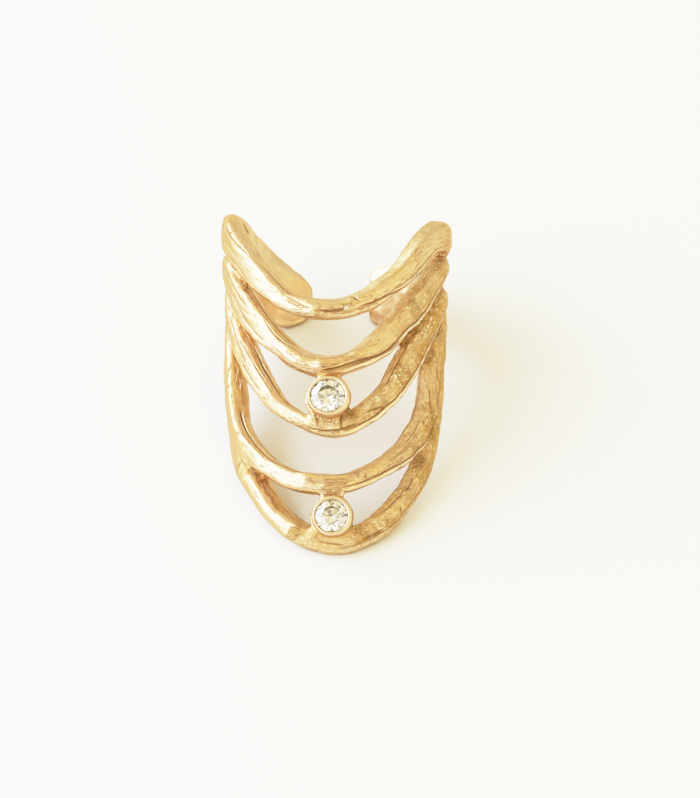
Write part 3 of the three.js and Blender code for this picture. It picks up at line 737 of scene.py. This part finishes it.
for name, setting in SETTINGS.items():
    stone = setting[4] / 2
    outer = stone + CUP_WALL
    bore = stone * BORE
    # the tube's section: its back, its outside, the lip, and the seat under the stone
    profile = (
        (bore, -CUP_DEPTH), (outer - BACK_TAPER, -CUP_DEPTH), (outer - 0.28, -CUP_DEPTH + 0.08),
        (outer - 0.02, -0.7), (outer, -0.35), (outer - 0.03, -0.08), (outer - 0.10, 0.12),
        (stone + 0.20, CUP_LIP - 0.04), (stone + 0.09, CUP_LIP + 0.01),
        (stone - 0.02, CUP_LIP - 0.03), (stone - LIP_REACH, CUP_LIP - 0.14),
        (stone - 0.02, 0.12), (stone + STONE_GAP, 0.08), (stone + STONE_GAP, -0.12),
        (bore, -0.12 - (stone + STONE_GAP - bore) * SEAT_SLOPE),
    )
    turning = bmesh.new()
    points = [turning.verts.new((radius, 0, height)) for radius, height in profile]
    edges = [turning.edges.new((points[k - 1], points[k])) for k in range(len(points))]
    bmesh.ops.spin(turning, geom=points + edges, axis=(0, 0, 1), angle=math.tau, steps=72,
                   use_merge=True)
    bmesh.ops.remove_doubles(turning, verts=turning.verts, dist=1e-5)
    bmesh.ops.recalc_face_normals(turning, faces=turning.faces)
    rims = []
    below = []
    for vert in turning.verts:
        radius = vert.co.xy.length
        rims.append(LIP_SHEEN if vert.co.z > LIP_SHEEN_FROM else 0.0)
        below.append(np.interp(radius, (stone - LIP_REACH, stone, outer), (1.0, 0.4, 0.4)))
        wobble = noise.noise(vert.co * 0.9 + Vector((0, 0, setting[4] * 9)))
        ripple = noise.noise(vert.co * 3.1 + Vector((5, 0, setting[4])))
        share = ramp((radius - stone) / CUP_WALL, 0, 1)
        vert.co *= 1 + (WOBBLE * wobble + RIPPLE * ripple) * (TRUE_BORE + (1 - TRUE_BORE) * share)
        vert.co += OFF_CENTRE * share
    bmesh.ops.transform(turning, matrix=to_floor @ setting_frame(*setting), verts=turning.verts)
    mesh = bpy.data.meshes.new(f"{name}_cup")
    turning.to_mesh(mesh)
    turning.free()
    mesh.shade_smooth()
    mesh.attributes.new("rims", "FLOAT", "POINT").data.foreach_set("value", rims)
    mesh.attributes.new("below", "FLOAT", "POINT").data.foreach_set("value", below)
    inside = mesh.attributes.new("flow", "FLOAT_VECTOR", "POINT")
    inside.data.foreach_set("vector", [0.0, 0.0, BURNISHED] * len(mesh.vertices))
    mesh.materials.append(gold)
    cup = bpy.data.objects.new(f"{name}_cup", mesh)
    bpy.context.scene.collection.objects.link(cup)
    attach(cup, "root")

# ---------------------------------------------------------------------------------------------
# The two stones. Round brilliants cut from a clear, colourless crystal, cubic zirconia by its
# sparkle. Each was dropped in its cup from the front and is held by the lip.
# ---------------------------------------------------------------------------------------------

# Heights of the cut, to the stone's radius. The girdle's is measured from its middle.
GIRDLE = 0.05
CROWN = 0.30
PAVILION = {"upper": 0.87, "lower": 0.84}
# The levels of corners from the table to the girdle, and from the girdle to the point: share of
# the radius, of the crown's or the pavilion's height, how many corners, and turned by how many
# eighths.
ABOVE_GIRDLE = ((0.56, 1, 8, 0.0), (0.79, 0.614, 8, 0.5), (1.0, 0, 16, 0.0))
BELOW_GIRDLE = ((1.0, 0, 16, 0.0), (0.25, 0.769, 8, 0.5), (0.02, 1, 8, 0.0))
REFRACTION = 2.17
FLAT = 1.5  # degrees; flatter edges lie inside a facet and are taken out

crystal = bpy.data.materials.new("clear_stone")
crystal.use_nodes = True
shader = crystal.node_tree.nodes["Principled BSDF"]
shader.inputs["Base Color"].default_value = (1, 1, 1, 1)
shader.inputs["Roughness"].default_value = 0.0
shader.inputs["IOR"].default_value = REFRACTION
shader.inputs["Transmission Weight"].default_value = 1.0

for name, setting in SETTINGS.items():
    radius = setting[4] / 2
    girdle = radius * GIRDLE
    cut_stone = bmesh.new()
    for side, height, levels in (
        (1, radius * CROWN, ABOVE_GIRDLE), (-1, radius * PAVILION[name], BELOW_GIRDLE),
    ):
        for share, reach, count, turn in levels:
            level = bmesh.ops.create_circle(cut_stone, segments=count,
                                            radius=radius * share)["verts"]
            angle = math.tau * turn / 8
            bmesh.ops.rotate(cut_stone, verts=level, matrix=Matrix.Rotation(angle, 3, "Z"))
            bmesh.ops.translate(cut_stone, verts=level,
                                vec=(0, 0, side * (girdle + height * reach)))
    bmesh.ops.convex_hull(cut_stone, input=cut_stone.verts)
    bmesh.ops.dissolve_limit(cut_stone, angle_limit=math.radians(FLAT), verts=cut_stone.verts,
                             edges=cut_stone.edges)
    bmesh.ops.recalc_face_normals(cut_stone, faces=cut_stone.faces)
    bmesh.ops.transform(cut_stone, matrix=to_floor @ setting_frame(*setting),
                        verts=cut_stone.verts)
    mesh = bpy.data.meshes.new(f"{name}_brilliant")
    cut_stone.to_mesh(mesh)
    cut_stone.free()
    mesh.materials.append(crystal)
    brilliant = bpy.data.objects.new(f"{name}_brilliant", mesh)
    bpy.context.scene.collection.objects.link(brilliant)
    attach(brilliant, "root")
    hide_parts(f"{name}_stone")

# ---------------------------------------------------------------------------------------------
# Floor, light and camera. The ring lies on white card by a wide window on the left; the room on
# the right is dimmer and warmer.
# ---------------------------------------------------------------------------------------------

CARD = (0.9, 0.9, 0.9, 1)
floor_mesh = bpy.data.meshes.new("floor")
sheet = bmesh.new()
bmesh.ops.create_grid(sheet, x_segments=1, y_segments=1, size=2)
sheet.to_mesh(floor_mesh)
sheet.free()
floor = bpy.data.objects.new("floor", floor_mesh)
bpy.context.scene.collection.objects.link(floor)
card = bpy.data.materials.new("card")
card.use_nodes = True
shader = card.node_tree.nodes["Principled BSDF"]
shader.inputs["Base Color"].default_value = CARD
shader.inputs["Roughness"].default_value = 0.9
shader.inputs["Specular IOR Level"].default_value = 0.1
floor_mesh.materials.append(card)

# The room's walls by where they stand, with the camera's own dark body in front.
FRONT_LEFT = (1.20, 1.10, 0.95, 1)
FRONT_RIGHT = (1.95, 1.74, 1.10, 1)
BACK_LEFT = (2.70, 3.20, 3.60, 1)
BACK_RIGHT = (1.16, 1.12, 0.90, 1)
CEILING = (1.33, 1.13, 0.66, 1)
DARK = (0.22, 0.15, 0.11, 1)
DARK_AT = (0.05, -0.74, 0.67)
CLUTTER = 3.2  # waves of lighter and darker things in the room, from side to side

world = bpy.data.worlds.new("room")
world.use_nodes = True
room = Finish(world)
heading = room.node("ShaderNodeTexCoord", result="Generated")


def toward(start, end, direction=None, axis=None):
    """0 to 1 from one side of the room to the other, or close to one direction."""
    if axis:
        value = room.node("ShaderNodeSeparateXYZ", inputs={0: heading}, result=axis)
    else:
        value = room.node("ShaderNodeVectorMath", {"operation": "DISTANCE"},
                          {0: heading, 1: direction}, result="Value")
    return room.node("ShaderNodeMapRange", {"interpolation_type": "SMOOTHSTEP"},
                     {"Value": value, "From Min": start, "From Max": end})


front = blend(room, toward(0.35, -0.35, axis="X"), FRONT_RIGHT, FRONT_LEFT)
back = blend(room, toward(-0.08, -0.52, axis="X"), BACK_RIGHT, BACK_LEFT)
walls = blend(room, toward(0.35, -0.35, axis="Y"), back, front)
walls = blend(room, toward(0.60, 0.88, axis="Z"), walls, CEILING)
clutter = room.node("ShaderNodeTexNoise", inputs={"Vector": heading, "Scale": CLUTTER,
                                                  "Detail": 1.0})
walls = room.node("ShaderNodeVectorMath", {"operation": "SCALE"},
                  {0: walls, "Scale": clutter * 1.6 + 0.2})
walls = blend(room, toward(0.42, 0.18, direction=DARK_AT), walls, DARK)
world.node_tree.links.new(walls.socket, world.node_tree.nodes["Background"].inputs["Color"])
bpy.context.scene.world = world

WINDOW_SIZE = (0.50, 0.30)
WINDOW_PLACE = Vector((-0.30, -0.05, 0.19))  # it faces the ring
WINDOW_LIGHT = 3.3
WINDOW_COLOUR = (0.85, 1.0, 1.22)
key = bpy.data.lights.new("window", "AREA")
key.shape = "RECTANGLE"
key.size, key.size_y = WINDOW_SIZE
key.energy = WINDOW_LIGHT * math.pi * key.size * key.size_y
key.color = WINDOW_COLOUR
window = bpy.data.objects.new("window", key)
facing = WINDOW_PLACE.to_track_quat("Z", "Y").to_matrix().to_4x4()
window.matrix_world = Matrix.Translation(WINDOW_PLACE) @ facing
window.visible_camera = False
bpy.context.scene.collection.objects.link(window)

# The film: bright light is pressed together softly instead of being cut off.
BRIGHTEST = 4.0  # light that comes out as bright as the film can show
SHOULDER = 0.55  # up to here it comes out as it is
ABOVE = 0.44  # the room that is left above the shoulder
view = bpy.context.scene.view_settings
view.view_transform = "Standard"
view.use_curve_mapping = True
view.curve_mapping.white_level = (BRIGHTEST, BRIGHTEST, BRIGHTEST)
film = view.curve_mapping.curves[3]
for light in (SHOULDER, 0.65, 0.8, 1.0, 1.25, 1.6, 2.1, 2.8, BRIGHTEST):
    shown = SHOULDER + ABOVE * (1 - math.exp((SHOULDER - light) / ABOVE))
    if light < BRIGHTEST:
        film.points.new(light / BRIGHTEST, shown)
    else:
        film.points[-1].location = (1.0, shown)
for point in film.points:
    point.handle_type = "VECTOR"
view.curve_mapping.update()

# The camera looks down at the middle of the ring's height, from in front and a little to the
# right of it.
VIEW_DOWN = 44.6  # degrees
VIEW_DISTANCE = 0.32
VIEW_RIGHT = 0.001227
MIDDLE = -11  # mm up the finger
FOCAL_LENGTH = 158.8  # mm
down = math.radians(VIEW_DOWN)
aim = Vector((VIEW_RIGHT, 0.0, 0.0)) + to_floor @ Vector((0, 0, MIDDLE))
lens = bpy.data.cameras.new("camera")
lens.lens = FOCAL_LENGTH
lens.clip_start = 0.01
camera = bpy.data.objects.new("camera", lens)
camera.location = aim + Vector((0, -math.cos(down), math.sin(down))) * VIEW_DISTANCE
camera.rotation_euler = (math.radians(90) - down, 0, 0)
bpy.context.scene.collection.objects.link(camera)
bpy.context.scene.camera = camera
